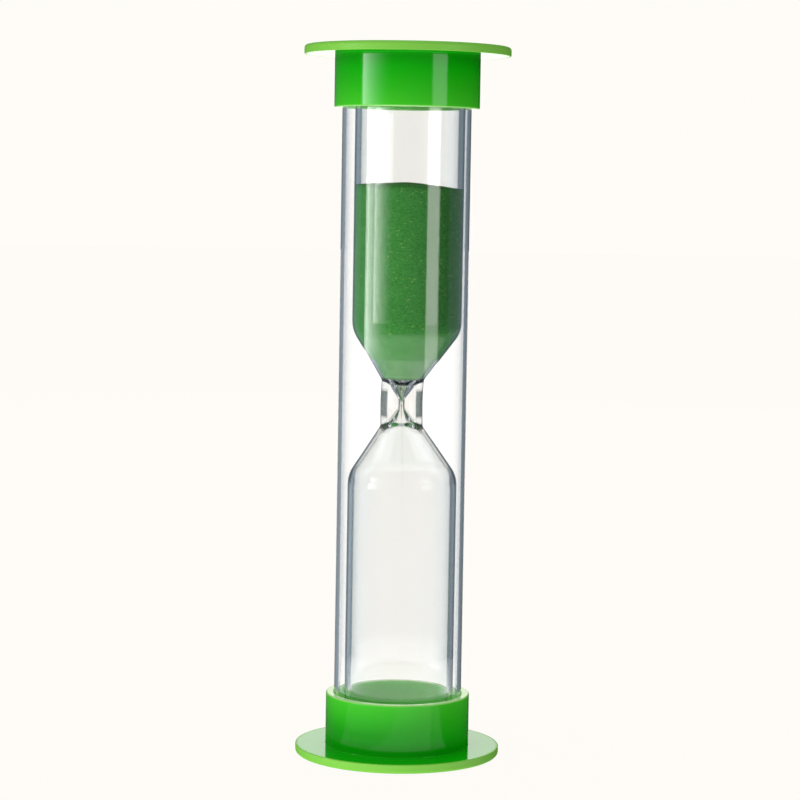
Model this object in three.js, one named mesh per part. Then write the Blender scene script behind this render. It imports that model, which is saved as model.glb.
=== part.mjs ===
// A small sand timer. A glass bulb of coloured sand stands inside a clear plastic tube, and two
// identical moulded caps close the tube and serve as its feet.
// Millimetres, +Z up. The origin is the centre of the lower cap's flat base.
import * as THREE from "three";

// Overall sizes
const HEIGHT = 94;
const NECK_Z = HEIGHT / 2;
const REST_GAP = 0.05; // between pieces that rest on each other
const SEGMENTS = 48;
const ARC_STEP = THREE.MathUtils.degToRad(30);

// Clear outer tube
const TUBE_RADIUS = 8.5;
const TUBE_WALL = 0.5;
const TUBE_END_GAP = 0.1;

// Caps: a round foot and a cup that the tube stands in, moulded in one
const FOOT_RADIUS = 13.6;
const FOOT_THICKNESS = 1.2;
const FOOT_ROUNDING = 0.45;
const CUP_RADIUS = 9.58;
const CUP_HEIGHT = 8.15;
const CUP_BORE = TUBE_RADIUS + REST_GAP;

// Glass bulb: heights above and below the neck are counted from NECK_Z
const BULB_RADIUS = 7.25;
const BULB_WALL = 0.65;
const BULB_INSIDE = BULB_RADIUS - BULB_WALL;
const BULB_BOTTOM = 2.35;
const BULB_MOUTH = 90.8;
const BOTTOM_ROUNDING = 2;
const SHOULDER_OUTSIDE = 9.61;
const SHOULDER_INSIDE = 9.81;
const SHOULDER_ROUNDING = 4;
const NECK_RADIUS = 2.8;
const NECK_LENGTH = 6.14;
const NECK_FILLET = 0.8;
const FUNNEL_RADIUS = 2;
const FUNNEL_REACH = 3.9;
const FUNNEL_ROUNDING = 3;
const ORIFICE_RADIUS = 0.27;
const ORIFICE_LENGTH = 1.2;
const ORIFICE_ROUNDING = 1.2;

// The neck is drawn in a flame by hand, which leaves the chambers slightly out of line
const UPPER_OFFSET = 0.45;
const LOWER_OFFSET = 0.15;
const NECK_OFFSET = -0.1;
const BEND_REACH = 10;

// Sand: the upper level can sink by LEVEL_TRAVEL, as far as the shoulder of the glass
const SAND_GAP = 0.1;
const SAND_RADIUS = BULB_INSIDE - SAND_GAP;
const LEVEL_TRAVEL = 17;
const FUNNEL_TOP = 58;
const CRUST_BOTTOM = FUNNEL_TOP + LEVEL_TRAVEL + 2 * REST_GAP;
const CRUST_EDGE = 0.8;
const CRUST_RISE = 0.4;
const BED_TOP = 4.35;
const HEAP_BOTTOM = 4.65;
const HEAP_EDGE = 0.25;
const HEAP_RISE = 1.5;

// Cushions and stopper
const CUSHION_RADIUS = 7.9;
const CUSHION_THICKNESS = 1.05;
const STOPPER_FLANGE = 0.8;
const STOPPER_PLUG = 2.5;

const MATERIALS = {
  cap_plastic: new THREE.MeshStandardMaterial({ color: 0x1f9a1c, roughness: 0.2 }),
  clear_plastic: new THREE.MeshStandardMaterial({
    color: 0xeef3f5, roughness: 0.05, transparent: true, opacity: 0.2,
  }),
  bulb_glass: new THREE.MeshStandardMaterial({
    color: 0xe8f2ee, roughness: 0.02, transparent: true, opacity: 0.3,
  }),
  sand: new THREE.MeshStandardMaterial({ color: 0x3f8048, roughness: 0.95 }),
  foam: new THREE.MeshStandardMaterial({ color: 0xe9e7df, roughness: 1 }),
  stopper_rubber: new THREE.MeshStandardMaterial({ color: 0xd8d4c8, roughness: 0.7 }),
};

// Replaces a corner by an arc that is tangent to both of its sides.
function roundCorner(before, corner, after, radius) {
  const toBefore = before.clone().sub(corner).normalize();
  const toAfter = after.clone().sub(corner).normalize();
  const halfAngle = toBefore.angleTo(toAfter) / 2;
  const centre = toBefore.clone().add(toAfter).normalize()
    .multiplyScalar(radius / Math.sin(halfAngle)).add(corner);
  const start = toBefore.multiplyScalar(radius / Math.tan(halfAngle)).add(corner);
  const turn = Math.PI - 2 * halfAngle;
  const side = Math.sign(start.clone().sub(corner).cross(toAfter));
  const steps = Math.max(1, Math.ceil(turn / ARC_STEP));
  return Array.from({ length: steps + 1 }, (_, i) =>
    start.clone().rotateAround(centre, (-side * turn * i) / steps));
}

// Turns corners [radius, height, rounding] into the points of a profile.
function profile(corners) {
  const at = (i) => new THREE.Vector2(...corners[(i + corners.length) % corners.length]);
  return corners.flatMap(([, , rounding = 0], i) =>
    rounding > 0 ? roundCorner(at(i - 1), at(i), at(i + 1), rounding) : [at(i)]);
}

// A solid of revolution about Z. The profile runs up the outside; a ring's profile is closed.
function turned(corners) {
  const points = profile(corners);
  const isRing = corners[0][0] > 0;
  if (isRing) points.push(points[0].clone());
  return new THREE.LatheGeometry(points, SEGMENTS).rotateX(Math.PI / 2);
}

// How far the bulb's centre line stands from the Z axis at a height.
function centreLine(z) {
  const chamber = z > NECK_Z ? UPPER_OFFSET : LOWER_OFFSET;
  const bend = THREE.MathUtils.smoothstep(Math.abs(z - NECK_Z), 0, BEND_REACH);
  return THREE.MathUtils.lerp(NECK_OFFSET, chamber, bend);
}

// A turned solid that follows the bulb's centre line.
function blown(corners) {
  const geometry = turned(corners);
  const position = geometry.getAttribute("position");
  for (let i = 0; i < position.count; i += 1) {
    position.setX(i, position.getX(i) + centreLine(position.getZ(i)));
  }
  return geometry;
}

// The inner wall of one chamber from its shoulder to the orifice, or back. side is 1 above the neck.
function funnelWall(side, gap = 0) {
  return [
    [BULB_INSIDE - gap, NECK_Z + side * SHOULDER_INSIDE, SHOULDER_ROUNDING - BULB_WALL],
    [FUNNEL_RADIUS - gap, NECK_Z + side * FUNNEL_REACH, FUNNEL_ROUNDING],
    [ORIFICE_RADIUS - gap, NECK_Z + (side * ORIFICE_LENGTH) / 2, ORIFICE_ROUNDING],
  ];
}

function capGeometry() {
  return turned([
    [0, 0],
    [FOOT_RADIUS, 0, FOOT_ROUNDING],
    [FOOT_RADIUS, FOOT_THICKNESS],
    [CUP_RADIUS, FOOT_THICKNESS],
    [CUP_RADIUS, CUP_HEIGHT],
    [CUP_BORE, CUP_HEIGHT],
    [CUP_BORE, FOOT_THICKNESS],
    [0, FOOT_THICKNESS],
  ]);
}

function tubeGeometry() {
  const inside = TUBE_RADIUS - TUBE_WALL;
  const bottom = FOOT_THICKNESS + TUBE_END_GAP;
  const top = HEIGHT - bottom;
  return turned([
    [inside, bottom],
    [TUBE_RADIUS, bottom],
    [TUBE_RADIUS, top],
    [inside, top],
  ]);
}

function bulbGeometry() {
  const neckEnd = NECK_LENGTH / 2;
  return blown([
    [0, BULB_BOTTOM],
    [BULB_RADIUS, BULB_BOTTOM, BOTTOM_ROUNDING],
    [BULB_RADIUS, NECK_Z - SHOULDER_OUTSIDE, SHOULDER_ROUNDING],
    [NECK_RADIUS, NECK_Z - neckEnd, NECK_FILLET],
    [NECK_RADIUS, NECK_Z + neckEnd, NECK_FILLET],
    [BULB_RADIUS, NECK_Z + SHOULDER_OUTSIDE, SHOULDER_ROUNDING],
    [BULB_RADIUS, BULB_MOUTH],
    [BULB_INSIDE, BULB_MOUTH],
    ...funnelWall(1),
    ...funnelWall(-1).reverse(),
    [BULB_INSIDE, BULB_BOTTOM + BULB_WALL, BOTTOM_ROUNDING - BULB_WALL],
    [0, BULB_BOTTOM + BULB_WALL],
  ]);
}

function stopperGeometry() {
  const seat = BULB_MOUTH + REST_GAP;
  const plug = BULB_INSIDE - REST_GAP;
  return blown([
    [0, BULB_MOUTH - STOPPER_PLUG],
    [plug, BULB_MOUTH - STOPPER_PLUG],
    [plug, seat],
    [BULB_RADIUS, seat],
    [BULB_RADIUS, seat + STOPPER_FLANGE],
    [0, seat + STOPPER_FLANGE],
  ]);
}

function cushionGeometry() {
  const bottom = FOOT_THICKNESS + REST_GAP;
  return turned([
    [0, bottom],
    [CUSHION_RADIUS, bottom],
    [CUSHION_RADIUS, bottom + CUSHION_THICKNESS],
    [0, bottom + CUSHION_THICKNESS],
  ]);
}

// Sand that fills the cone under the upper chamber, down into the orifice.
function funnelSandGeometry() {
  return blown([
    [0, NECK_Z + REST_GAP],
    [ORIFICE_RADIUS - SAND_GAP, NECK_Z + REST_GAP],
    ...funnelWall(1, SAND_GAP).reverse(),
    [SAND_RADIUS, FUNNEL_TOP],
    [0, FUNNEL_TOP],
  ]);
}

// A round block of sand between two heights. Its top can rise further towards the middle.
function sandBlock(bottom, top, rise = 0) {
  return blown([
    [0, bottom],
    [SAND_RADIUS, bottom],
    [SAND_RADIUS, top],
    [0, top + rise],
  ]);
}

// Sand that has settled in the rounded end of the lower chamber.
function bedGeometry() {
  const floor = BULB_BOTTOM + BULB_WALL + SAND_GAP;
  return blown([
    [0, floor],
    [SAND_RADIUS, floor, BOTTOM_ROUNDING - BULB_WALL - SAND_GAP],
    [SAND_RADIUS, BED_TOP],
    [0, BED_TOP],
  ]);
}

// The thread of falling sand, from the orifice to the top of the lower heap.
function streamGeometry() {
  const radius = ORIFICE_RADIUS - SAND_GAP;
  const bottom = HEAP_BOTTOM + HEAP_EDGE + HEAP_RISE + REST_GAP;
  const top = NECK_Z - REST_GAP;
  return blown([
    [0, bottom],
    [radius, bottom],
    [radius, NECK_Z - BEND_REACH],
    [radius, top],
    [0, top],
  ]);
}

function mesh(name, geometry, material) {
  const part = new THREE.Mesh(geometry, MATERIALS[material]);
  part.name = name;
  return part;
}

// The same piece again at the other end of the timer, turned over.
function turnedOver(part) {
  part.rotation.x = Math.PI;
  part.position.z = HEIGHT;
  return part;
}

const casing = new THREE.Group();
casing.add(
  mesh("lower_cap", capGeometry(), "cap_plastic"),
  turnedOver(mesh("upper_cap", capGeometry(), "cap_plastic")),
  mesh("outer_tube", tubeGeometry(), "clear_plastic"),
  mesh("lower_cushion", cushionGeometry(), "foam"),
  turnedOver(mesh("upper_cushion", cushionGeometry(), "foam")),
);

const bulb = new THREE.Group();
bulb.add(
  mesh("glass_bulb", bulbGeometry(), "bulb_glass"),
  mesh("bulb_stopper", stopperGeometry(), "stopper_rubber"),
);

const upperSurface = sandBlock(CRUST_BOTTOM, CRUST_BOTTOM + CRUST_EDGE, CRUST_RISE);
const upperColumn = sandBlock(FUNNEL_TOP + REST_GAP, CRUST_BOTTOM - REST_GAP);
const lowerHeap = sandBlock(HEAP_BOTTOM, HEAP_BOTTOM + HEAP_EDGE, HEAP_RISE);
const lowerColumn = sandBlock(BED_TOP + REST_GAP, HEAP_BOTTOM - REST_GAP);

const sand = new THREE.Group();
sand.add(
  mesh("upper_sand_surface", upperSurface, "sand"),
  mesh("upper_sand_column", upperColumn, "sand"),
  mesh("funnel_sand", funnelSandGeometry(), "sand"),
  mesh("sand_stream", streamGeometry(), "sand"),
  mesh("lower_sand_heap", lowerHeap, "sand"),
  mesh("lower_sand_column", lowerColumn, "sand"),
  mesh("lower_sand_bed", bedGeometry(), "sand"),
);

const sandTimer = new THREE.Group();
sandTimer.add(casing, bulb, sand);

export default sandTimer;
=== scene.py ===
import math
import random

import bmesh
import bpy
from mathutils import Matrix, Vector, noise


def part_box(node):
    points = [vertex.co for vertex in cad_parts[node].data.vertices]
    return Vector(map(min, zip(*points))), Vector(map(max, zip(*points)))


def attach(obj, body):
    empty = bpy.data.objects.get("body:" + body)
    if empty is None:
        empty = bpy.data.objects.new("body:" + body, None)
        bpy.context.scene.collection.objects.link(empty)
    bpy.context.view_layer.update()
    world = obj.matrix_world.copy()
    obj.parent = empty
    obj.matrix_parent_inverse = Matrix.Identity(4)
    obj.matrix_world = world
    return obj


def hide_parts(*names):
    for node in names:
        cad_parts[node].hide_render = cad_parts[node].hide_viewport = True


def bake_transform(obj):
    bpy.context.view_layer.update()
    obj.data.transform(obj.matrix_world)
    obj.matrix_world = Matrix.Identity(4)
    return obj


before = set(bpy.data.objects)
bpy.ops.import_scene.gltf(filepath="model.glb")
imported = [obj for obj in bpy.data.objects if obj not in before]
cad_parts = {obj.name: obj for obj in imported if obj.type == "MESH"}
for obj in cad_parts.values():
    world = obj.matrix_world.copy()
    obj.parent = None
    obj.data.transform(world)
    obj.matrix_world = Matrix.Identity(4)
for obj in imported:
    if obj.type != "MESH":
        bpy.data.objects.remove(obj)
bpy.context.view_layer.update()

MM = 0.001

# The frame's own sizes
FOOT_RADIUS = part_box("lower_cap")[1].x
CUP_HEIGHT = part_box("lower_cap")[1].z
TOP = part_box("upper_cap")[1].z
NECK_Z = TOP / 2
TUBE_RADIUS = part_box("outer_tube")[1].x
TUBE_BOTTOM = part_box("outer_tube")[0].z
TUBE_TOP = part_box("outer_tube")[1].z
BULB_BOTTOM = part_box("glass_bulb")[0].z
BULB_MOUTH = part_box("glass_bulb")[1].z
BULB_RADIUS = (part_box("glass_bulb")[1].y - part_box("glass_bulb")[0].y) / 2
COLUMN_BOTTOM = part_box("upper_sand_column")[0].z
CRUST_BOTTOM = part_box("upper_sand_surface")[0].z
CRUST_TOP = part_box("upper_sand_surface")[1].z
BED_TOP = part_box("lower_sand_column")[0].z
HEAP_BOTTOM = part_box("lower_sand_heap")[0].z
HEAP_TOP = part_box("lower_sand_heap")[1].z
STREAM_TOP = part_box("sand_stream")[1].z

# Shapes that the frame's boxes don't give: the caps and the tube
FOOT_THICKNESS = 1.2 * MM
FOOT_ROUNDING = 0.45 * MM
CUP_RADIUS = 9.58 * MM
CUP_BORE = 8.55 * MM
CUP_FILLET = 0.05 * MM
LIP_OUTER_ROUNDING = 0.2 * MM
LIP_INNER_ROUNDING = 0.12 * MM
CAP_EDGE_ROUNDING = 0.1 * MM
TUBE_WALL = 0.5 * MM

# The bulb's walls and neck. A shoulder or a reach is a distance up or down from the middle of the
# neck, and a length is a whole length.
BULB_WALL = 0.65 * MM
BULB_INSIDE = BULB_RADIUS - BULB_WALL
BOTTOM_ROUNDING = 2 * MM
SHOULDER_OUTSIDE = 9.61 * MM
SHOULDER_ROUNDING = 4 * MM
NECK_RADIUS = 2.8 * MM
NECK_LENGTH = 6.14 * MM
NECK_FILLET = 0.8 * MM
ORIFICE_RADIUS = 0.27 * MM
ORIFICE_LENGTH = 1.2 * MM
ORIFICE_ROUNDING = 1.2 * MM

# The inside of the upper chamber, where it narrows to the orifice
SHOULDER_INSIDE = 9.81 * MM
FUNNEL_RADIUS = 2.6 * MM
FUNNEL_REACH = 3.4 * MM
FUNNEL_ROUNDING = 0.8 * MM
THROAT_RADIUS = 1.25 * MM
THROAT_REACH = 2.5 * MM
THROAT_Z = NECK_Z + THROAT_REACH

# The inside of the lower chamber, where it widens below the orifice
LOWER_THROAT_RADIUS = 1.4 * MM
LOWER_THROAT_REACH = 2.5 * MM
LOWER_FUNNEL_RADIUS = 2.85 * MM
LOWER_FUNNEL_REACH = 4.05 * MM
LOWER_FUNNEL_ROUNDING = 0.8 * MM
LOWER_SHOULDER_INSIDE = 9.3 * MM

# How far the chambers and the neck stand off the Z axis, to the right, and the distance over which
# the centre line bends from the neck to a chamber
UPPER_OFFSET = 0.45 * MM
LOWER_OFFSET = 0.15 * MM
NECK_OFFSET = -0.1 * MM
BEND_REACH = 10 * MM

# The sand against the glass
SAND_CONTACT = 0.02 * MM  # how far the sand reaches into the glass, so that no gap shows
PACKED_REACH = 5.8 * MM  # from here up, counted from the neck, the sand is packed against the glass

# Mesh fineness
SEGMENTS = 144
ARC_STEP = math.radians(7.5)
HOLD = 0.03 * MM  # how far beside a rounding the points stand that hold its shading
RING_STEP = 0.8 * MM

# The camera at the photograph's viewing angle
CAMERA_PLACE = Vector((-0.303, -336.54, 74.72)) * MM
CAMERA_DOWN = math.radians(4.647)
CAMERA_ROLL = math.radians(0.944)
LENS = 114.4

# The backdrop, and factors of its colour: the backdrop and the floor as seen through glass, the
# floor's own glow and its matte white
BACKDROP = (1.0, 0.973, 0.931, 1)
THROUGH_GLASS = 1.35
FLOOR_THROUGH_GLASS = 1.34
FLOOR_GLOW = 0.975
FLOOR_MATTE = 0.02

# The room that reflections see
CAP_ROOM = (0.10, 0.10, 0.09, 1)
DIM_ROOM = (0.01, 0.01, 0.01, 1)
CAP_ROOM_SLOPE = -0.47  # Y / X of the line behind which the caps' room turns dark on the right
FRONT_ROOM = (0.06, 0.065, 0.07, 1)
GREY_ROOM = (0.30, 0.37, 0.43, 1)
GREY_RIGHT = 0.72  # a factor of the grey on the right side
WALL_WHITE = 0.85  # a factor of the backdrop, for the white part of the wall behind

# Z of a direction where the wall behind starts to turn white and where it is white, and where the
# ceiling seen through glass starts to turn grey and where it is grey
WALL_GREY_BELOW = 0.12
WALL_WHITE_ABOVE = 0.25
CEILING_STARTS = 0.6
CEILING_FULL = 0.9

# The bright panel behind the timer: X / Y of a direction at its side edge, Z at its lower edge in
# the world and on the floor, and a factor of the backdrop
PANEL_HALF_WIDTH = math.tan(math.radians(8))
PANEL_BOTTOM = 0.12
WHOLE_FLOOR = -1.0  # lower than any place on the floor
PANEL_STRENGTH = 1.6

# The upright cards
CARD_DISTANCE = 0.5
CARD_HALF_HEIGHT = 0.07


# ---------------------------------------------------------------- outlines and meshes

def rounded(corners, closed=True):
    """Outline points from corners (radius, height, rounding). A rounded corner is an arc tangent to
    both of its sides, with one more point just before and just after it to hold the shading."""
    points = []
    for i, (radius, height, rounding) in enumerate(corners):
        corner = Vector((radius, height))
        is_end = not closed and i in (0, len(corners) - 1)
        if rounding == 0 or is_end:
            points.append(corner)
            continue
        to_before = (Vector(corners[i - 1][:2]) - corner).normalized()
        to_after = (Vector(corners[(i + 1) % len(corners)][:2]) - corner).normalized()
        half = to_before.angle(to_after) / 2
        reach = rounding / math.tan(half)
        centre = corner + (to_before + to_after).normalized() * (rounding / math.sin(half))
        start = corner + to_before * reach
        end = corner + to_after * reach
        turn = math.pi - 2 * half
        if (start - centre).angle_signed(end - centre) > 0:
            turn = -turn
        steps = max(2, math.ceil(abs(turn) / ARC_STEP))
        points.append(start + to_before * HOLD)
        for k in range(steps + 1):
            spoke = start - centre
            spoke.rotate(Matrix.Rotation(turn * k / steps, 2))
            points.append(centre + spoke)
        points.append(end + to_after * HOLD)
    return points


def with_rings(points, step, closed=True):
    """The same outline with long straight stretches cut into shorter ones."""
    result = []
    count = len(points) if closed else len(points) - 1
    for i in range(count):
        start = points[i]
        end = points[(i + 1) % len(points)]
        pieces = max(1, round((end - start).length / step))
        result.extend(start.lerp(end, k / pieces) for k in range(pieces))
    if not closed:
        result.append(points[-1])
    return result


def centre_line(height):
    """How far the bulb's centre line stands from the Z axis at a height."""
    chamber = UPPER_OFFSET if height > NECK_Z else LOWER_OFFSET
    share = min(1, abs(height - NECK_Z) / BEND_REACH)
    bend = share * share * (3 - 2 * share)
    return NECK_OFFSET + (chamber - NECK_OFFSET) * bend


def add_piece(name, bm, material, body=None):
    """Makes a smooth-shaded object from a bmesh and lets it ride on a body, if one is given."""
    bmesh.ops.recalc_face_normals(bm, faces=bm.faces)
    mesh = bpy.data.meshes.new(name)
    bm.to_mesh(mesh)
    bm.free()
    mesh.shade_smooth()
    mesh.materials.append(material)
    piece = bpy.data.objects.new(name, mesh)
    bpy.context.scene.collection.objects.link(piece)
    if body:
        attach(piece, body)
    return piece


def spin(points, closed=True, follows_bulb=False, turned_over=False):
    """A bmesh of revolution of points (radius, height) about Z, or about the bulb's centre line.
    In a closed outline the last point is joined to the first. Points on the axis become one vertex
    each. Turned over, it hangs from the timer's top."""
    bm = bmesh.new()
    rings = []
    for radius, height in points:
        centre = centre_line(height) if follows_bulb else 0
        z = TOP - height if turned_over else height
        on_axis = radius < 1e-9
        if on_axis:
            rings.append([bm.verts.new((centre, 0, z))] * SEGMENTS)
            continue
        angles = [2 * math.pi * k / SEGMENTS for k in range(SEGMENTS)]
        rings.append([
            bm.verts.new((centre + radius * math.cos(a), radius * math.sin(a), z)) for a in angles
        ])
    last = len(rings) if closed else len(rings) - 1
    for i in range(last):
        here = rings[i]
        there = rings[(i + 1) % len(rings)]
        for k in range(SEGMENTS):
            m = (k + 1) % SEGMENTS
            corners = list(dict.fromkeys((here[k], here[m], there[m], there[k])))
            if len(corners) > 2:
                bm.faces.new(corners)
    return bm


# ---------------------------------------------------------------- node helpers

def brighter(colour, factor):
    """The colour times a factor."""
    return (*(factor * c for c in colour[:3]), 1)


def new_material(name):
    """A material with an empty node tree, and its tree."""
    material = bpy.data.materials.new(name)
    material.use_nodes = True
    material.node_tree.nodes.clear()
    return material, material.node_tree


def node(tree, kind, inputs=None, **settings):
    """A node with its settings, and its sockets set to values or linked to other sockets."""
    made = tree.nodes.new(kind)
    for name, value in settings.items():
        setattr(made, name, value)
    for socket, value in (inputs or {}).items():
        if isinstance(value, bpy.types.NodeSocket):
            tree.links.new(value, made.inputs[socket])
        else:
            made.inputs[socket].default_value = value
    return made


def ramp(tree, value, stops):
    """A colour ramp over stops (position, colour); its colour output."""
    made = node(tree, "ShaderNodeValToRGB", {"Fac": value})
    elements = made.color_ramp.elements
    for i, (position, colour) in enumerate(stops):
        stop = elements[i] if i < 2 else elements.new(position)
        stop.position = position
        stop.color = (*colour, 1)
    return made.outputs["Color"]


def span(tree, value, low, high):
    """Maps a 0 to 1 value to the range low to high."""
    made = node(tree, "ShaderNodeMapRange", {"Value": value, "To Min": low, "To Max": high})
    return made.outputs["Result"]


def noise_value(tree, scale, detail=2.0, stretch=(1, 1, 1)):
    """Noise in the object's own space, its features about 1 / scale metres across."""
    place = node(tree, "ShaderNodeTexCoord").outputs["Object"]
    mapping = node(tree, "ShaderNodeMapping", {"Vector": place, "Scale": stretch})
    made = node(tree, "ShaderNodeTexNoise",
                {"Vector": mapping.outputs["Vector"], "Scale": scale, "Detail": detail})
    return made.outputs["Fac"]


def calculate(tree, operation, first, second=0.0):
    """The result of a Math node."""
    return node(tree, "ShaderNodeMath", {0: first, 1: second}, operation=operation).outputs[0]


def mix_colours(tree, factor, first, second):
    """A mix of two colours, as the first at factor 0 and the second at 1."""
    made = node(tree, "ShaderNodeMix", data_type="RGBA")
    sockets = [made.inputs["Factor"], *[i for i in made.inputs if i.type == "RGBA"]]
    for socket, value in zip(sockets, (factor, first, second)):
        if isinstance(value, bpy.types.NodeSocket):
            tree.links.new(value, socket)
        else:
            socket.default_value = value
    return next(o for o in made.outputs if o.type == "RGBA")


def bump(tree, height, depth, strength):
    """The normal of a surface whose height value, 0 to 1, stands for a depth in metres."""
    made = node(tree, "ShaderNodeBump",
                {"Height": height, "Distance": depth, "Strength": strength})
    return made.outputs["Normal"]


def finish_material(tree, **sockets):
    """A Principled shader with its sockets set, on the output. Underscores stand for spaces."""
    inputs = {name.replace("_", " "): value for name, value in sockets.items()}
    shader = node(tree, "ShaderNodeBsdfPrincipled", inputs)
    node(tree, "ShaderNodeOutputMaterial", {"Surface": shader.outputs["BSDF"]})


# ---------------------------------------------------------------- materials

def cap_zones(tree):
    """Where a point of a cap lies: how far up the cup, from 0 at the foot to 1 at the lip, and
    values that are 1 at the foot's outer edge and in the cup's bore."""
    place = node(tree, "ShaderNodeTexCoord").outputs["Object"]
    axes = node(tree, "ShaderNodeSeparateXYZ", {"Vector": place}).outputs
    from_middle = calculate(tree, "ABSOLUTE", calculate(tree, "SUBTRACT", axes["Z"], TOP / 2))
    above_foot = calculate(tree, "SUBTRACT", TOP / 2 - FOOT_THICKNESS, from_middle)
    up_the_cup = calculate(tree, "DIVIDE", above_foot, CUP_HEIGHT - FOOT_THICKNESS)
    flat = node(tree, "ShaderNodeCombineXYZ", {"X": axes["X"], "Y": axes["Y"]}).outputs[0]
    radius = node(tree, "ShaderNodeVectorMath", {0: flat}, operation="LENGTH").outputs["Value"]
    edge_width = 0.5 * MM
    margin = 0.05 * MM
    at_edge = node(tree, "ShaderNodeMapRange", {
        "Value": radius, "From Min": FOOT_RADIUS - edge_width, "From Max": FOOT_RADIUS - margin,
    }, interpolation_type="SMOOTHSTEP").outputs["Result"]
    in_bore = calculate(tree, "MULTIPLY",
                        calculate(tree, "LESS_THAN", radius, CUP_BORE + margin),
                        calculate(tree, "GREATER_THAN", above_foot, margin))
    return up_the_cup, at_edge, in_bore


def cap_plastic():
    """Glossy moulded plastic, slightly translucent. Painted shade makes it deep green where the foot
    and the cup meet; painted light makes it pale at the foot's thin edge and towards the cup's lip.
    The cup's wall lets light through to its bore, whose colour is painted paler as well. Faintly
    uneven."""
    material, tree = new_material("cap_plastic")
    up_the_cup, at_edge, in_bore = cap_zones(tree)
    # Painted shade and light up the cup: deep green just above the foot, where the foot shades it,
    # paler towards the lip, and a pale line of painted light on the lip itself.
    colour = ramp(tree, up_the_cup, [
        (0.0, (0.003, 0.31, 0.002)),
        (0.08, (0.0, 0.25, 0.0)),
        (0.30, (0.002, 0.33, 0.001)),
        (0.65, (0.018, 0.37, 0.007)),
        (0.97, (0.038, 0.42, 0.014)),
        (1.0, (0.34, 0.64, 0.20)),
    ])
    # Painted light: the foot's outer edge is paler, for the light glowing through the thin plastic
    # there.
    colour = mix_colours(tree, at_edge, colour, (0.16, 0.45, 0.045, 1))
    # Painted light: the bore is coloured much paler, for the light that comes through the cup's
    # wall. The subsurface setting below also lets real light through.
    colour = mix_colours(tree, in_bore, colour, (0.28, 0.92, 0.22, 1))
    flow = noise_value(tree, 160, 3, (1, 1, 0.35))
    colour = mix_colours(tree, span(tree, flow, 0.0, 0.12), colour, (0.0, 0.46, 0.0, 1))
    marks = noise_value(tree, 900, 6, (1, 1, 3))
    dull_edge = calculate(tree, "MULTIPLY", at_edge, 0.3)
    finish_material(
        tree,
        Base_Color=colour,
        Roughness=calculate(tree, "ADD", span(tree, marks, 0.06, 0.16), dull_edge),
        IOR=1.49,
        Subsurface_Weight=in_bore,
        Subsurface_Radius=(1, 1, 1),
        Subsurface_Scale=3 * MM,
        Normal=bump(tree, noise_value(tree, 700, 3), 0.012 * MM, 0.4),
    )
    return material


def clear_plastic():
    """Extruded clear plastic: faint draw lines along it, and painted shade that darkens it towards
    its edges, for the dark room reflected there.
    """
    material, tree = new_material("clear_plastic")
    facing = node(tree, "ShaderNodeLayerWeight", {"Blend": 0.5}).outputs["Facing"]
    # Painted shade: darker towards the edges, where the dark room would be reflected.
    colour = ramp(tree, facing, [
        (0.0, (0.95, 0.95, 0.95)),
        (0.60, (0.98, 0.99, 1.0)),
        (0.90, (0.90, 0.93, 0.97)),
    ])
    finish_material(
        tree,
        Base_Color=colour,
        Roughness=0.0,
        IOR=1.49,
        Transmission_Weight=1.0,
        Normal=bump(tree, noise_value(tree, 500, 2, (1, 1, 0.02)), 0.006 * MM, 0.3),
    )
    return material


def bulb_glass():
    """Thin flame-worked glass with slow waves in it. Painted shade darkens it towards its edges, for
    the dark room reflected there, and starts sooner on the solid glass of the neck."""
    material, tree = new_material("bulb_glass")
    facing = node(tree, "ShaderNodeLayerWeight", {"Blend": 0.5}).outputs["Facing"]
    # Painted shade: nearly black at glancing angles, standing in for the dark room reflected at the
    # glass's edges.
    wall_tint_and_edge_shade = ramp(tree, facing, [
        (0.0, (0.965, 0.97, 0.965)),
        (0.35, (0.945, 0.97, 0.975)),
        (0.70, (0.93, 0.95, 0.94)),
        (0.78, (0.06, 0.09, 0.09)),
        (1.0, (0.02, 0.03, 0.03)),
    ])
    # Painted shade on the neck: dark from less glancing angles, for the dark bars seen in the solid
    # glass.
    neck_tint_and_shade = ramp(tree, facing, [
        (0.0, (0.97, 0.96, 0.95)),
        (0.24, (0.95, 0.96, 0.955)),
        (0.29, (0.05, 0.07, 0.075)),
        (0.60, (0.03, 0.045, 0.045)),
        (0.75, (0.01, 0.015, 0.015)),
    ])
    place = node(tree, "ShaderNodeTexCoord").outputs["Object"]
    height = node(tree, "ShaderNodeSeparateXYZ", {"Vector": place}).outputs["Z"]
    from_neck = calculate(tree, "ABSOLUTE", calculate(tree, "SUBTRACT", height, NECK_Z))
    solid_reach = 1.6 * MM
    thin_reach = 2.1 * MM
    in_neck = node(tree, "ShaderNodeMapRange", {
        "Value": from_neck,
        "From Min": solid_reach, "From Max": thin_reach,
        "To Min": 1.0, "To Max": 0.0,
    }).outputs["Result"]
    finish_material(
        tree,
        Base_Color=mix_colours(tree, in_neck, wall_tint_and_edge_shade, neck_tint_and_shade),
        Roughness=0.0,
        IOR=1.5,
        Transmission_Weight=1.0,
        Normal=bump(tree, noise_value(tree, 220, 1, (1, 1, 0.3)), 0.02 * MM, 0.3),
    )
    return material


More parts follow.
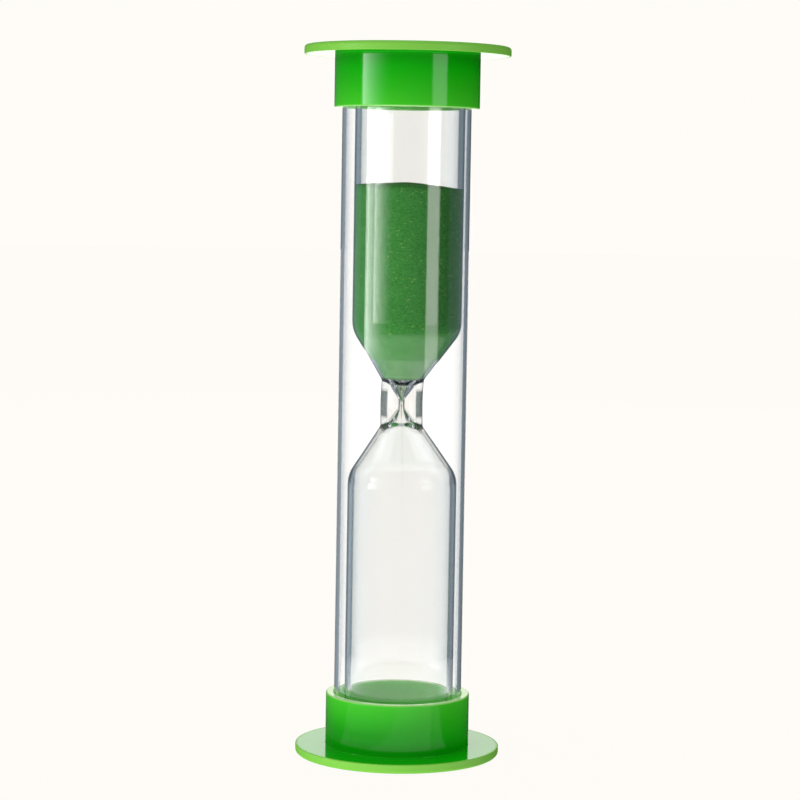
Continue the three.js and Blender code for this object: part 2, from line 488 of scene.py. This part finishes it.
def dyed_sand():
    """Fine dyed sand: grains of slightly different greens, with a few pale quartz ones."""
    material, tree = new_material("sand")
    place = node(tree, "ShaderNodeTexCoord").outputs["Object"]
    grains = node(tree, "ShaderNodeTexVoronoi", {"Vector": place, "Scale": 7000.0})
    tone = node(tree, "ShaderNodeSeparateColor", {"Color": grains.outputs["Color"]})
    colour = ramp(tree, tone.outputs["Red"], [
        (0.0, (0.050, 0.285, 0.046)),
        (0.5, (0.078, 0.360, 0.070)),
        (0.98, (0.100, 0.43, 0.087)),
        (0.99, (0.32, 0.58, 0.14)),
    ])
    clumps = noise_value(tree, 300, 3)
    shade = mix_colours(tree, span(tree, clumps, 0.0, 0.35), colour, (0.025, 0.22, 0.022, 1))
    finish_material(
        tree,
        Base_Color=shade,
        Roughness=0.75,
        Specular_IOR_Level=0.05,
        Normal=bump(tree, grains.outputs["Distance"], 0.05 * MM, 0.5),
    )
    return material


def foam():
    """Soft packing foam with fine open cells."""
    material, tree = new_material("foam")
    place = node(tree, "ShaderNodeTexCoord").outputs["Object"]
    cells = node(tree, "ShaderNodeTexVoronoi", {"Vector": place, "Scale": 3500.0})
    colour = ramp(tree, cells.outputs["Distance"], [
        (0.0, (0.62, 0.60, 0.52)),
        (0.6, (0.8, 0.79, 0.72)),
    ])
    finish_material(
        tree,
        Base_Color=colour,
        Roughness=0.95,
        Normal=bump(tree, cells.outputs["Distance"], 0.1 * MM, 0.6),
    )
    return material


def stopper_rubber():
    """Pale moulded rubber with a dusty bloom."""
    material, tree = new_material("stopper_rubber")
    bloom = noise_value(tree, 600, 4)
    finish_material(
        tree,
        Base_Color=ramp(tree, bloom, [(0.3, (0.55, 0.50, 0.42)), (0.7, (0.68, 0.63, 0.55))]),
        Roughness=span(tree, bloom, 0.5, 0.75),
        Normal=bump(tree, noise_value(tree, 2500, 2), 0.02 * MM, 0.5),
    )
    return material


# ---------------------------------------------------------------- pieces of the timer

def cap(name, material, turned_over):
    """A round foot with a cup on it for the tube, moulded in one."""
    outline = rounded([
        (0, 0, 0),
        (FOOT_RADIUS, 0, FOOT_ROUNDING),
        (FOOT_RADIUS, FOOT_THICKNESS, CAP_EDGE_ROUNDING),
        (CUP_RADIUS, FOOT_THICKNESS, CUP_FILLET),
        (CUP_RADIUS, CUP_HEIGHT, LIP_OUTER_ROUNDING),
        (CUP_BORE, CUP_HEIGHT, LIP_INNER_ROUNDING),
        (CUP_BORE, FOOT_THICKNESS, CAP_EDGE_ROUNDING),
        (0, FOOT_THICKNESS, 0),
    ])
    bm = spin(with_rings(outline, 2 * MM), turned_over=turned_over)
    piece = add_piece(name, bm, material, "timer_body")
    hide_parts(name.replace("_shell", ""))


def tube(material):
    """The clear tube between the two caps."""
    inside = TUBE_RADIUS - TUBE_WALL
    edge = 0.06 * MM
    outline = rounded([
        (inside, TUBE_BOTTOM, edge),
        (TUBE_RADIUS, TUBE_BOTTOM, edge),
        (TUBE_RADIUS, TUBE_TOP, edge),
        (inside, TUBE_TOP, edge),
    ])
    bm = spin(with_rings(outline, 4 * MM))
    piece = add_piece("clear_tube", bm, material, "timer_body")
    piece.visible_shadow = False
    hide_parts("outer_tube")


def upper_wall():
    """Corners of the upper chamber's inner wall, from its shoulder to the orifice."""
    return [
        (BULB_INSIDE, NECK_Z + SHOULDER_INSIDE, SHOULDER_ROUNDING - BULB_WALL),
        (FUNNEL_RADIUS, NECK_Z + FUNNEL_REACH, FUNNEL_ROUNDING),
        (THROAT_RADIUS, THROAT_Z, THROAT_RADIUS / 2),
        (ORIFICE_RADIUS, NECK_Z + ORIFICE_LENGTH / 2, ORIFICE_ROUNDING),
    ]


def lower_wall():
    """Corners of the lower chamber's inner wall, from the orifice to its shoulder."""
    return [
        (ORIFICE_RADIUS, NECK_Z - ORIFICE_LENGTH / 2, ORIFICE_ROUNDING),
        (LOWER_THROAT_RADIUS, NECK_Z - LOWER_THROAT_REACH, LOWER_FUNNEL_ROUNDING),
        (LOWER_FUNNEL_RADIUS, NECK_Z - LOWER_FUNNEL_REACH, LOWER_FUNNEL_ROUNDING),
        (BULB_INSIDE, NECK_Z - LOWER_SHOULDER_INSIDE, SHOULDER_ROUNDING - BULB_WALL),
    ]


def bulb(material):
    """The one-piece glass bulb: two chambers and the thick drawn neck between them."""
    neck_end = NECK_LENGTH / 2
    lip = 0.15 * MM
    outline = rounded([
        (0, BULB_BOTTOM, 0),
        (BULB_RADIUS, BULB_BOTTOM, BOTTOM_ROUNDING),
        (BULB_RADIUS, NECK_Z - SHOULDER_OUTSIDE, SHOULDER_ROUNDING),
        (NECK_RADIUS, NECK_Z - neck_end, NECK_FILLET),
        (NECK_RADIUS, NECK_Z + neck_end, NECK_FILLET),
        (BULB_RADIUS, NECK_Z + SHOULDER_OUTSIDE, SHOULDER_ROUNDING),
        (BULB_RADIUS, BULB_MOUTH, lip),
        (BULB_INSIDE, BULB_MOUTH, lip),
        *upper_wall(),
        *lower_wall(),
        (BULB_INSIDE, BULB_BOTTOM + BULB_WALL, BOTTOM_ROUNDING - BULB_WALL),
        (0, BULB_BOTTOM + BULB_WALL, 0),
    ])
    bm = spin(with_rings(outline, RING_STEP), closed=False, follows_bulb=True)
    piece = add_piece("blown_bulb", bm, material, "timer_body")
    piece.visible_shadow = False
    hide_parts("glass_bulb")


def stopper(material):
    """The ribbed rubber stopper in the bulb's mouth."""
    low, high = (corner.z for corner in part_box("bulb_stopper"))
    gap = 0.05 * MM
    plug = BULB_INSIDE - gap
    seat = BULB_MOUTH + gap
    root = plug - 0.25 * MM
    edge = 0.15 * MM
    fillet = 0.05 * MM
    corners = [(0, low, 0), (root, low, edge)]
    ribs = 3
    pitch = (seat - low) / (ribs + 0.5)
    for k in range(ribs):
        rib = low + pitch * (k + 0.5)
        corners += [
            (root, rib - 0.15 * pitch, fillet),
            (plug, rib + 0.1 * pitch, 2 * fillet),
            (root, rib + 0.35 * pitch, fillet),
        ]
    corners += [
        (root, seat, fillet),
        (BULB_RADIUS, seat, edge),
        (BULB_RADIUS, high, edge),
        (0, high, 0),
    ]
    bm = spin(rounded(corners), closed=False, follows_bulb=True)
    piece = add_piece("ribbed_stopper", bm, material, "timer_body")
    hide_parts("bulb_stopper")


def cushion(name, node_name, material, turned_over):
    """A round foam pad, crowned at its edge and pressed in where the bulb or its stopper bears."""
    low, high = (corner.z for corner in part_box("lower_cushion"))
    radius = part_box("lower_cushion")[1].x
    crown = 0.6 * MM
    pressed = high - 0.12 * MM
    outline = rounded([
        (0, low, 0),
        (radius, low, 0.35 * MM),
        (radius, high - 0.05 * MM, 0.45 * MM),
        (radius - crown, high, 0.4 * MM),
        (radius * 0.8, pressed, 2 * MM),
        (0, pressed, 0),
    ], closed=False)
    bm = spin(with_rings(outline, 0.5 * MM, closed=False), closed=False, turned_over=turned_over)
    piece = add_piece(name, bm, material, "timer_body")
    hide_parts(node_name)


def funnel_outline():
    """Points along the upper chamber's inner wall, from the sand column's bottom to the orifice."""
    return rounded([(BULB_INSIDE, COLUMN_BOTTOM, 0), *upper_wall()], closed=False)


def funnel_radius(height):
    """The upper chamber's inner radius at a height between the orifice and the shoulder."""
    points = funnel_outline()
    for above, below in zip(points, points[1:]):
        if below.y <= height <= above.y:
            return below.x + (above.x - below.x) * (height - below.y) / (above.y - below.y)
    return ORIFICE_RADIUS


def roughen(bm, depth, scale, lowest):
    """Moves the vertices above a height up and down by a smooth noise."""
    for vertex in bm.verts:
        if vertex.co.z > lowest:
            vertex.co.z += depth * noise.noise(vertex.co * scale)


def upper_sand(material):
    """Sand in the upper chamber, packed against the glass down to where the glass thickens, and
    loose below that. Its top slopes down to the right. Its side wall has no rings between the
    funnel and the crust, so it shortens evenly as the level sinks."""
    loose_gap = 0.04 * MM
    side = BULB_INSIDE + SAND_CONTACT
    wall = with_rings(funnel_outline(), RING_STEP, closed=False)
    funnel = [
        Vector((p.x + (SAND_CONTACT if p.y > NECK_Z + PACKED_REACH else -loose_gap), p.y))
        for p in reversed(wall) if p.y > THROAT_Z
    ]
    rise = CRUST_TOP - CRUST_BOTTOM
    edge_height = 0.75 * rise
    rings = 24
    crust = []
    for k in range(rings + 1):
        share = k / rings
        height = edge_height + (rise - edge_height) * math.sin(share * math.pi / 2)
        crust.append(Vector((side * (1 - share), CRUST_BOTTOM + height)))
    crust[-1].x = 0
    outline = [Vector((0, funnel[0].y)), *funnel, Vector((side, CRUST_BOTTOM)), *crust]
    bm = spin(outline, closed=False, follows_bulb=True)
    in_crust = CRUST_BOTTOM + edge_height / 2
    slope = 0.07
    drop = 0.15 * MM
    for vertex in bm.verts:
        if vertex.co.z > in_crust:
            across = vertex.co.x - UPPER_OFFSET
            vertex.co.z -= drop + slope * max(0, across)
    roughen(bm, 0.1 * MM, 1200, in_crust)
    piece = add_piece("upper_sand", bm, material)
    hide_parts("funnel_sand", "upper_sand_column", "upper_sand_surface")
    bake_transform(piece)


def lower_sand(material):
    """Sand that has landed in the lower chamber: a shallow heap on the rounded end."""
    side = BULB_INSIDE + SAND_CONTACT
    floor_height = BULB_BOTTOM + BULB_WALL - SAND_CONTACT
    bed = rounded([
        (0, floor_height, 0),
        (side, floor_height, BOTTOM_ROUNDING - BULB_WALL),
        (side, BED_TOP, 0),
    ], closed=False)
    rise = HEAP_TOP - HEAP_BOTTOM
    edge_height = 0.15 * rise
    rings = 24
    heap = []
    for k in range(rings + 1):
        share = k / rings
        height = edge_height + (rise - edge_height) * share ** 1.3
        heap.append(Vector((side * (1 - share), HEAP_BOTTOM + height)))
    heap[-1].x = 0
    bm = spin([*bed, Vector((side, HEAP_BOTTOM)), *heap], closed=False, follows_bulb=True)
    roughen(bm, 0.12 * MM, 1100, HEAP_BOTTOM + edge_height / 2)
    piece = add_piece("lower_sand", bm, material)
    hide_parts("lower_sand_bed", "lower_sand_column", "lower_sand_heap")
    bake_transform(piece)


def add_grain(bm, chance, reach, height):
    """One grain of sand at a height, at a random place within a reach of the bulb's centre line."""
    angle = chance.uniform(0, 2 * math.pi)
    away = reach * math.sqrt(chance.random())
    radius = chance.uniform(0.03, 0.055) * MM
    x = centre_line(height) + away * math.cos(angle)
    y = away * math.sin(angle)
    place = Matrix.Translation((x, y, height - radius))
    bmesh.ops.create_icosphere(bm, subdivisions=1, radius=radius, matrix=place)


def funnel_grains(material):
    """Grains on the move in the funnel, between the packed sand and the orifice."""
    chance = random.Random(11)
    bm = bmesh.new()
    grains = 700
    for k in range(grains):
        height = STREAM_TOP + (THROAT_Z - STREAM_TOP) * math.sqrt((k + 1) / grains)
        add_grain(bm, chance, 0.9 * funnel_radius(height), height)
    piece = add_piece("running_grains", bm, material, "timer_body")
    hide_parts("funnel_sand")


def stream(material):
    """Falling grains: a thread just under the orifice that spreads into single grains."""
    chance = random.Random(7)
    bm = bmesh.new()
    grains = 120
    fall = STREAM_TOP - HEAP_TOP
    for k in range(grains):
        share = (k / grains) ** 3
        add_grain(bm, chance, (0.06 + 0.12 * share) * MM, STREAM_TOP - share * fall)
    piece = add_piece("falling_grains", bm, material)
    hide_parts("sand_stream")
    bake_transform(piece)


# ---------------------------------------------------------------- studio

def camera():
    """The camera, tilted down and rolled a little."""
    data = bpy.data.cameras.new("camera")
    data.lens = LENS
    data.sensor_width = 36
    data.clip_start = 0.01
    data.clip_end = 20
    view = bpy.data.objects.new("camera", data)
    tilt = Matrix.Rotation(math.pi / 2 - CAMERA_DOWN, 4, "X")
    roll = Matrix.Rotation(CAMERA_ROLL, 4, "Z")
    view.matrix_world = Matrix.Translation(CAMERA_PLACE) @ tilt @ roll
    bpy.context.scene.collection.objects.link(view)
    bpy.context.scene.camera = view


def aim(thing, azimuth, height, distance):
    """Places a light or card round the timer, facing it. The camera is at azimuth 0, and positive
    azimuths, in degrees, are to its right."""
    turn = math.radians(azimuth)
    thing.location = (distance * math.sin(turn), -distance * math.cos(turn), height)
    target = Vector((0, 0, NECK_Z))
    thing.rotation_euler = (target - thing.location).to_track_quat("-Z", "Y").to_euler()


def softbox(name, azimuth, height, distance, size, power):
    """A soft area light. Reflections see the cards instead."""
    data = bpy.data.lights.new(name, "AREA")
    data.size = size
    data.energy = power
    light = bpy.data.objects.new(name, data)
    aim(light, azimuth, height, distance)
    light.visible_camera = False
    light.visible_glossy = False
    light.visible_transmission = False
    bpy.context.scene.collection.objects.link(light)


def ray_history(tree):
    """What a ray has met so far: sockets that are 1 once it has been mirrored, has passed into
    glass, or has been scattered by a matte surface, and the number of times it has been mirrored."""
    path = node(tree, "ShaderNodeLightPath").outputs
    depths = {
        "mirrored": "Glossy Depth",
        "in_glass": "Transmission Depth",
        "scattered": "Diffuse Depth",
    }
    history = {"mirror_count": path["Glossy Depth"]}
    for kind, depth in depths.items():
        history[kind] = calculate(tree, "GREATER_THAN", path[depth], 0.5)
    return history


def mirror_room(tree, history, place, panel_bottom):
    """What reflections see in a direction, or at a place on the floor: a bright upright panel behind
    the timer, above a value of the place's Z. Round it, the caps see a grey room that is dark on
    its right side. Glass sees a dark front, and a wall behind that is grey below, darker on its
    right side, and white above."""
    axes = node(tree, "ShaderNodeSeparateXYZ", {"Vector": place}).outputs
    behind = calculate(tree, "GREATER_THAN", axes["Y"], 0.0)
    on_right = calculate(tree, "GREATER_THAN", axes["X"], 0.0)
    sideways = calculate(tree, "DIVIDE", calculate(tree, "ABSOLUTE", axes["X"]), axes["Y"])
    narrow = calculate(tree, "LESS_THAN", sideways, PANEL_HALF_WIDTH)
    high_enough = calculate(tree, "GREATER_THAN", axes["Z"], panel_bottom)
    panel = calculate(tree, "MULTIPLY", calculate(tree, "MULTIPLY", behind, narrow), high_enough)
    raised = node(tree, "ShaderNodeMapRange", {
        "Value": axes["Z"], "From Min": WALL_GREY_BELOW, "From Max": WALL_WHITE_ABOVE,
    }).outputs["Result"]
    low_wall = mix_colours(tree, on_right, GREY_ROOM, brighter(GREY_ROOM, GREY_RIGHT))
    wall = mix_colours(tree, raised, low_wall, brighter(BACKDROP, WALL_WHITE))
    glass_room = mix_colours(tree, behind, FRONT_ROOM, wall)
    past_slope = calculate(tree, "GREATER_THAN", axes["Y"],
                           calculate(tree, "MULTIPLY", axes["X"], CAP_ROOM_SLOPE))
    dark_side = calculate(tree, "MULTIPLY", past_slope, on_right)
    cap_room = mix_colours(tree, dark_side, CAP_ROOM, DIM_ROOM)
    room = mix_colours(tree, history["in_glass"], cap_room, glass_room)
    return mix_colours(tree, panel, room, brighter(BACKDROP, PANEL_STRENGTH))


def reflection_card(name, outline, inside_glass=None):
    """A card on the stage that adds its light to single reflections alone, and only to those
    inside glass or only to those outside it where inside_glass says so. Returns the object, its
    node tree, the glow to colour, and what the glow's strength must be multiplied by."""
    material, tree = new_material(name)
    history = ray_history(tree)
    matt = calculate(tree, "SUBTRACT", 1.0, history["scattered"])
    mirrored_once = calculate(tree, "COMPARE", history["mirror_count"], 1.0)
    shown = calculate(tree, "MULTIPLY", mirrored_once, matt)
    if inside_glass is not None:
        in_place = calculate(tree, "COMPARE", history["in_glass"], float(inside_glass))
        shown = calculate(tree, "MULTIPLY", shown, in_place)
    clear = node(tree, "ShaderNodeBsdfTransparent").outputs["BSDF"]
    glow = node(tree, "ShaderNodeEmission")
    both = node(tree, "ShaderNodeAddShader", {0: clear, 1: glow.outputs["Emission"]})
    node(tree, "ShaderNodeOutputMaterial", {"Surface": both.outputs["Shader"]})
    material.cycles.emission_sampling = "NONE"
    mesh = bpy.data.meshes.new(name)
    mesh.from_pydata(outline, [], [tuple(range(len(outline)))])
    mesh.materials.append(material)
    card = bpy.data.objects.new(name, mesh)
    card.visible_camera = False
    card.visible_diffuse = False
    card.visible_shadow = False
    bpy.context.scene.collection.objects.link(card)
    return card, tree, glow, shown


def upright_card(name, azimuth, width, colour, strength, fade=0.0):
    """A card standing at one side, which shows as an upright streak on the glass and the caps. It
    ends low enough to stay out of the upper foot's flat face. With a fade it is brightest at its
    left edge, seen from the timer, and falls off to the right."""
    x = width / 2
    y = CARD_HALF_HEIGHT
    card, tree, glow, shown = reflection_card(name, [(-x, -y, 0), (x, -y, 0), (x, y, 0), (-x, y, 0)])
    aim(card, azimuth, CARD_HALF_HEIGHT, CARD_DISTANCE)
    place = node(tree, "ShaderNodeTexCoord").outputs["Generated"]
    across = node(tree, "ShaderNodeSeparateXYZ", {"Vector": place}).outputs["X"]
    share = calculate(tree, "POWER", calculate(tree, "SUBTRACT", 1.0, across), fade)
    full = calculate(tree, "MULTIPLY", share, strength)
    tree.links.new(calculate(tree, "MULTIPLY", full, shown), glow.inputs["Strength"])
    glow.inputs["Color"].default_value = colour


def table_card(name, left, right, reach, strength, end_strength, inside_glass):
    """A white card lying round the timer between two azimuths, in degrees. Its strength changes
    evenly from the foot to its outer edge."""
    near = FOOT_RADIUS + 1 * MM
    height = 0.2 * MM
    steps = 48
    outline = []
    for radius, ends in ((near, (left, right)), (reach, (right, left))):
        for k in range(steps + 1):
            turn = math.radians(ends[0] + (ends[1] - ends[0]) * k / steps)
            outline.append((radius * math.sin(turn), -radius * math.cos(turn), height))
    tree, glow, shown = reflection_card(name, outline, inside_glass)[1:]
    place = node(tree, "ShaderNodeNewGeometry").outputs["Position"]
    away = node(tree, "ShaderNodeVectorMath", {0: place}, operation="LENGTH").outputs["Value"]
    full = node(tree, "ShaderNodeMapRange", {
        "Value": away,
        "From Min": near, "From Max": reach,
        "To Min": strength, "To Max": end_strength,
    }).outputs["Result"]
    tree.links.new(calculate(tree, "MULTIPLY", full, shown), glow.inputs["Strength"])
    glow.inputs["Color"].default_value = BACKDROP


def studio_world():
    """A pale backdrop for direct sight and through glass, where it turns grey high up, the mirror
    room for reflections, and a soft sky for matte surfaces."""
    world = bpy.data.worlds.new("studio")
    bpy.context.scene.world = world
    world.use_nodes = True
    world.cycles.sampling_method = "NONE"
    tree = world.node_tree
    tree.nodes.clear()
    history = ray_history(tree)
    direction = node(tree, "ShaderNodeTexCoord").outputs["Generated"]
    axes = node(tree, "ShaderNodeSeparateXYZ", {"Vector": direction}).outputs
    upward = calculate(tree, "ADD", calculate(tree, "MULTIPLY", axes["Z"], 0.5), 0.5)
    sky = ramp(tree, upward, [
        (0.5, (0.6, 0.6, 0.59)),
        (0.65, (0.6, 0.6, 0.59)),
        (1.0, (1.0, 1.0, 0.98)),
    ])
    ceiling = node(tree, "ShaderNodeMapRange", {
        "Value": axes["Z"], "From Min": CEILING_STARTS, "From Max": CEILING_FULL,
    }).outputs["Result"]
    through = mix_colours(tree, ceiling, brighter(BACKDROP, THROUGH_GLASS), GREY_ROOM)
    straight = mix_colours(tree, history["in_glass"], BACKDROP, through)
    room = mirror_room(tree, history, direction, PANEL_BOTTOM)
    seen = mix_colours(tree, history["mirrored"], straight, room)
    light = mix_colours(tree, history["scattered"], seen, sky)
    background = node(tree, "ShaderNodeBackground", {"Color": light, "Strength": 1.0})
    node(tree, "ShaderNodeOutputWorld", {"Surface": background.outputs["Background"]})


def floor_material():
    """A pale light table: mostly its own glow, with a little matte white that takes a soft shadow.
    Reflections see the mirror room on it instead."""
    material, tree = new_material("light_table")
    history = ray_history(tree)
    matte = node(tree, "ShaderNodeBsdfDiffuse", {"Color": brighter(BACKDROP, FLOOR_MATTE)})
    straight = mix_colours(tree, history["in_glass"], brighter(BACKDROP, FLOOR_GLOW),
                           brighter(BACKDROP, FLOOR_THROUGH_GLASS))
    place = node(tree, "ShaderNodeNewGeometry").outputs["Position"]
    room = mirror_room(tree, history, place, WHOLE_FLOOR)
    seen = mix_colours(tree, history["mirrored"], straight, room)
    light = mix_colours(tree, history["scattered"], seen, BACKDROP)
    glow = node(tree, "ShaderNodeEmission", {"Color": light, "Strength": 1.0})
    both = node(tree, "ShaderNodeAddShader",
                {0: matte.outputs["BSDF"], 1: glow.outputs["Emission"]})
    node(tree, "ShaderNodeOutputMaterial", {"Surface": both.outputs["Shader"]})
    material.cycles.emission_sampling = "NONE"
    return material


def floor():
    """A wide plain floor under the timer. The lamp below shines through it."""
    half = 3.0
    mesh = bpy.data.meshes.new("floor")
    corners = [(-half, -half, 0), (half, -half, 0), (half, half, 0), (-half, half, 0)]
    mesh.from_pydata(corners, [], [(0, 1, 2, 3)])
    mesh.materials.append(floor_material())
    plane = bpy.data.objects.new("floor", mesh)
    plane.visible_shadow = False
    bpy.context.scene.collection.objects.link(plane)


def studio():
    """Camera, floor, world and lights."""
    bpy.context.scene.view_settings.view_transform = "Standard"
    camera()
    floor()
    studio_world()
    upright_card("left_card", azimuth=-47.5, width=0.5, colour=(1.0, 1.0, 1.0, 1), strength=8.5,
                 fade=2.6)
    upright_card("right_card", azimuth=52, width=0.22, colour=(1.0, 1.0, 0.95, 1), strength=2.4)
    table_card("front_card", left=-78, right=64, reach=0.5, strength=0.66, end_strength=0.3,
               inside_glass=False)
    table_card("ring_card", left=-125, right=125, reach=0.076, strength=2.8, end_strength=0.5,
               inside_glass=True)
    softbox("top_box", azimuth=-60, height=0.60, distance=0.25, size=0.5, power=1.3)
    softbox("left_key", azimuth=-45, height=0.10, distance=0.50, size=0.4, power=0.5)
    softbox("back_fill", azimuth=165, height=0.25, distance=0.50, size=0.4, power=0.6)
    softbox("under_box", azimuth=-40, height=-0.25, distance=0.20, size=0.2, power=1.1)


# ---------------------------------------------------------------- the timer

plastic = cap_plastic()
sand = dyed_sand()
soft_foam = foam()

studio()
cap("lower_cap_shell", plastic, turned_over=False)
cap("upper_cap_shell", plastic, turned_over=True)
tube(clear_plastic())
bulb(bulb_glass())
stopper(stopper_rubber())
cushion("lower_pad", "lower_cushion", soft_foam, turned_over=False)
cushion("upper_pad", "upper_cushion", soft_foam, turned_over=True)
upper_sand(sand)
lower_sand(sand)
funnel_grains(sand)
stream(sand)
